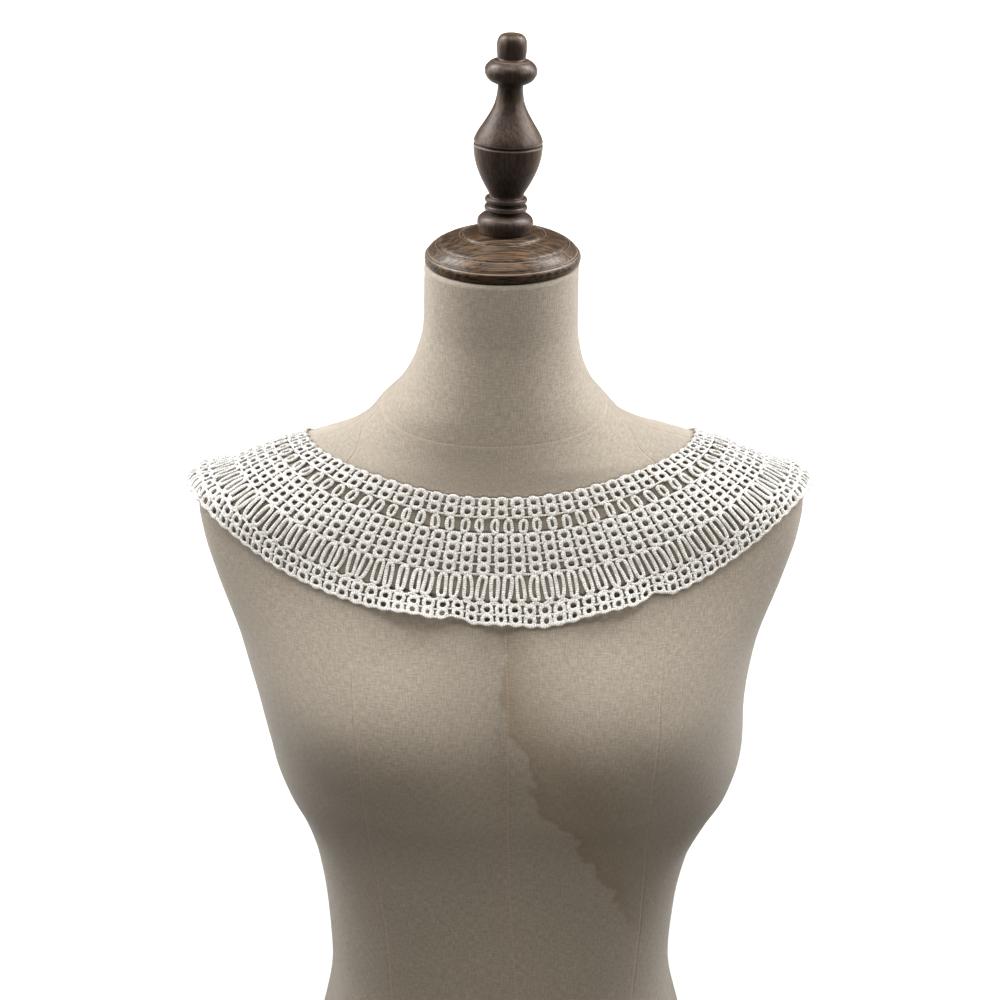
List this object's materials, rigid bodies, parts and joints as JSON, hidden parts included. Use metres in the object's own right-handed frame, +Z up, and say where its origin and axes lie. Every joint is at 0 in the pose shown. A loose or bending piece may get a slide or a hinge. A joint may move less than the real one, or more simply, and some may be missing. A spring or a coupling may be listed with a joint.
{
  "type": "lace collar on a dress form",
  "caption": "Wide round collar of corded cotton lace with bands of rings, ovals and long loops, laid over the shoulders of a linen dress form with a turned wooden cap and finial.",
  "frame": {"origin": "centre of the box at the form's flat underside, which stands on a surface", "axes": "+Z up, -Y towards the front of the form, +X towards the form's own left shoulder"},
  "size_m": [0.4094, 0.2586, 0.8581],
  "materials": {
    "lace": "matt, slightly silky corded cotton lace",
    "linen": "matt plain-woven natural linen",
    "wood": "dark stained, satin varnished"
  },
  "bodies": {
    "root": {"collar_left": "lace", "collar_right": "lace", "torso": "linen", "neck_cap": "wood", "finial": "wood"}
  },
  "joints": []
}
